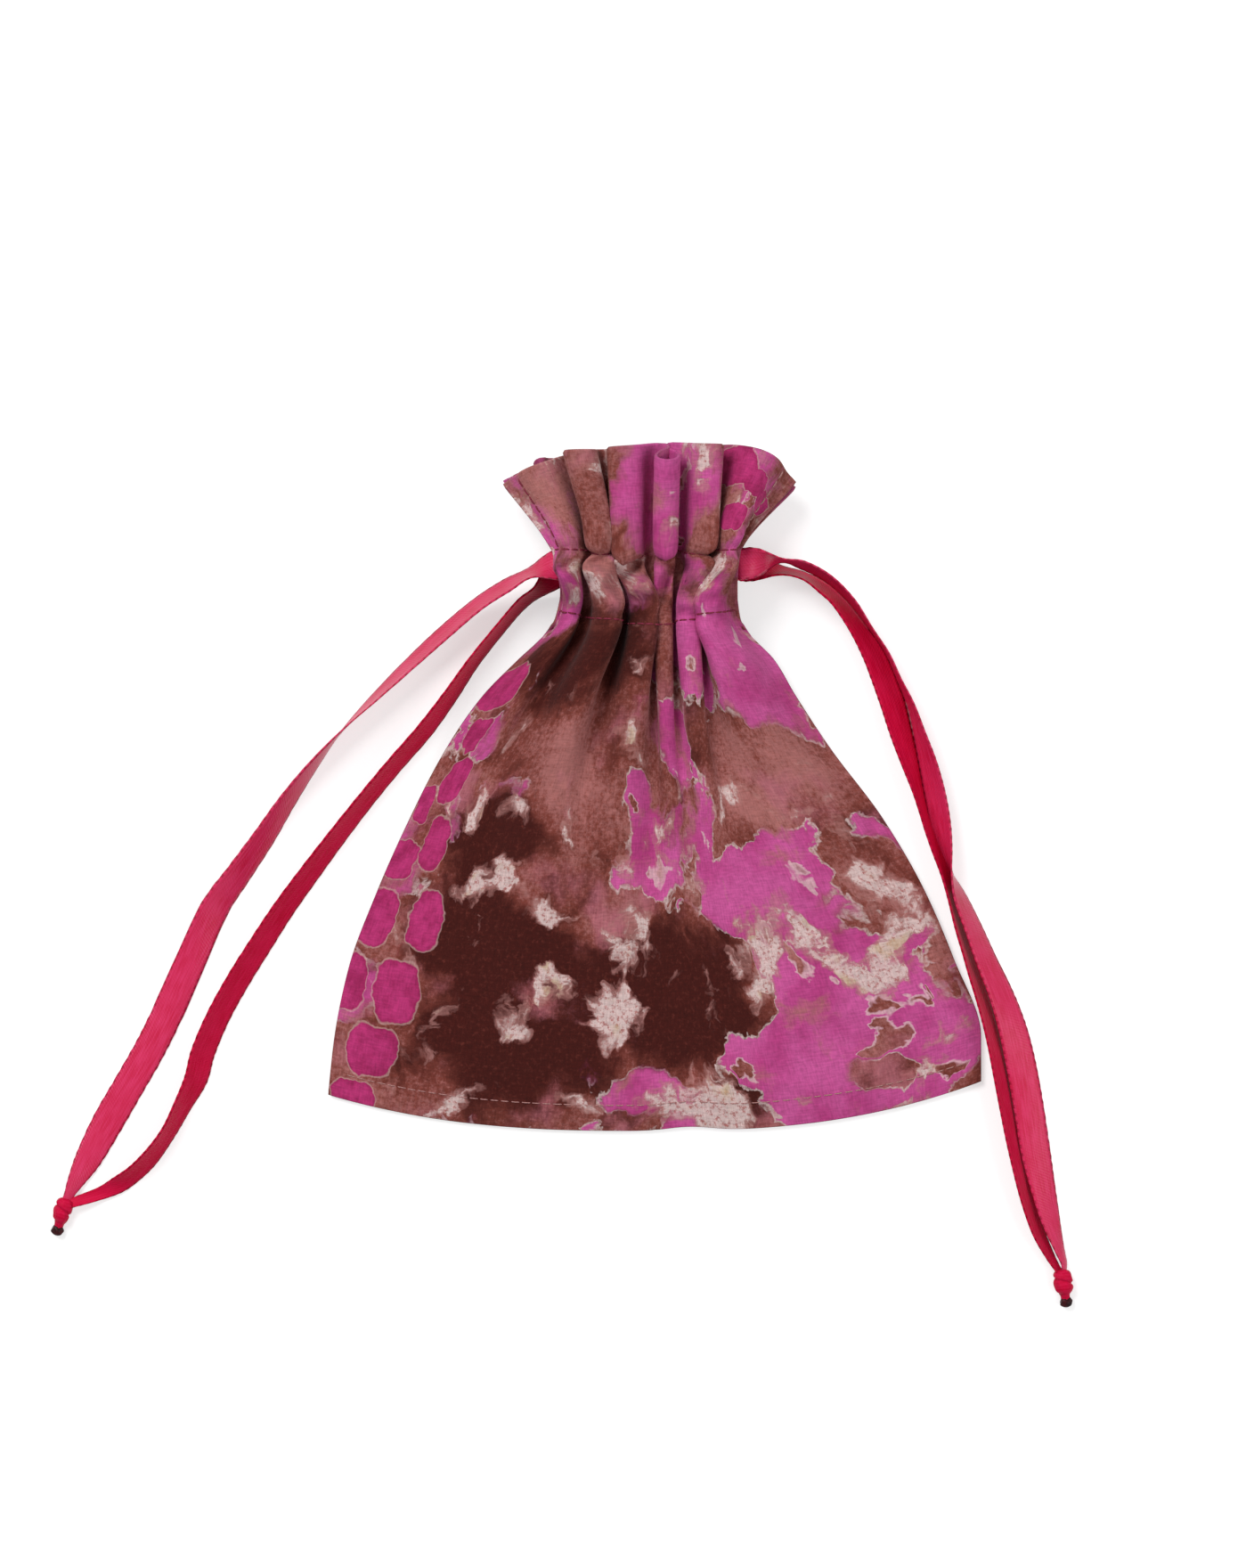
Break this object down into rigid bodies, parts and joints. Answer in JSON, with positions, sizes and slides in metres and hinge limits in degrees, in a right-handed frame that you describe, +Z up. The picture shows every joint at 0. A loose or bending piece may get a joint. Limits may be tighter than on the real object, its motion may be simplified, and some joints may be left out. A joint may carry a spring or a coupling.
{
  "type": "drawstring dice bag",
  "caption": "Empty gathered cotton pouch lying flat, with a frilled mouth, a stitched casing and satin ribbon drawstrings that leave it at both sides.",
  "frame": {"origin": "on the surface that the bag lies on, under the middle of the bag without its free ribbons", "axes": "+X to the bag's right as it lies, +Y from its bottom seam towards its mouth, +Z up off the surface"},
  "size_m": [0.2289, 0.1922, 0.0199],
  "materials": {
    "batik_cloth": "matte printed cotton",
    "burgundy_thread": "matte sewing thread",
    "pale_thread": "matte sewing thread",
    "satin_ribbon": "glossy satin",
    "sealed_ribbon": "melted ribbon end"
  },
  "bodies": {
    "bag": {"front_panel": "batik_cloth", "back_panel": "batik_cloth", "left_seam_allowance": "batik_cloth", "right_seam_allowance": "batik_cloth", "bottom_seam_allowance": "batik_cloth", "left_seam_thread": "burgundy_thread", "right_seam_thread": "burgundy_thread", "bottom_seam_thread": "burgundy_thread", "bottom_topstitch": "pale_thread"},
    "mouth_left": {"front_left_heading": "batik_cloth", "front_left_facing": "batik_cloth", "front_left_lower_stitch": "burgundy_thread", "front_left_upper_stitch": "burgundy_thread", "front_left_slit_stitch": "burgundy_thread", "back_left_heading": "batik_cloth", "back_left_facing": "batik_cloth", "back_left_lower_stitch": "burgundy_thread", "back_left_upper_stitch": "burgundy_thread", "back_left_slit_stitch": "burgundy_thread"},
    "mouth_right": {"front_right_heading": "batik_cloth", "front_right_facing": "batik_cloth", "front_right_lower_stitch": "burgundy_thread", "front_right_upper_stitch": "burgundy_thread", "front_right_slit_stitch": "burgundy_thread", "back_right_heading": "batik_cloth", "back_right_facing": "batik_cloth", "back_right_lower_stitch": "burgundy_thread", "back_right_upper_stitch": "burgundy_thread", "back_right_slit_stitch": "burgundy_thread"},
    "left_drawstring": {"left_ribbon_loop": "satin_ribbon", "left_front_strand": "satin_ribbon", "left_back_strand": "satin_ribbon", "left_knot": "satin_ribbon", "left_sealed_end": "sealed_ribbon"},
    "right_drawstring": {"right_ribbon_loop": "satin_ribbon", "right_front_strand": "satin_ribbon", "right_back_strand": "satin_ribbon", "right_knot": "satin_ribbon", "right_sealed_end": "sealed_ribbon"}
  },
  "joints": [
    {"name": "mouth_left_slide", "type": "slide", "parent": "bag", "child": "mouth_left", "axis": [-1, 0, 0], "range_m": [0, 0.03]},
    {"name": "mouth_right_slide", "type": "slide", "parent": "bag", "child": "mouth_right", "axis": [1, 0, 0], "range_m": [0, 0.03]},
    {"name": "left_pull", "type": "slide", "parent": "mouth_left", "child": "left_drawstring", "axis": [-1, 0, 0], "range_m": [0, 0.015], "deforming": ["left_ribbon_loop"]},
    {"name": "right_pull", "type": "slide", "parent": "mouth_right", "child": "right_drawstring", "axis": [1, 0, 0], "range_m": [0, 0.015], "deforming": ["right_ribbon_loop"]}
  ],
  "couplings": [
    {"joint": "mouth_right_slide", "follows": "mouth_left_slide", "ratio": 1}
  ]
}
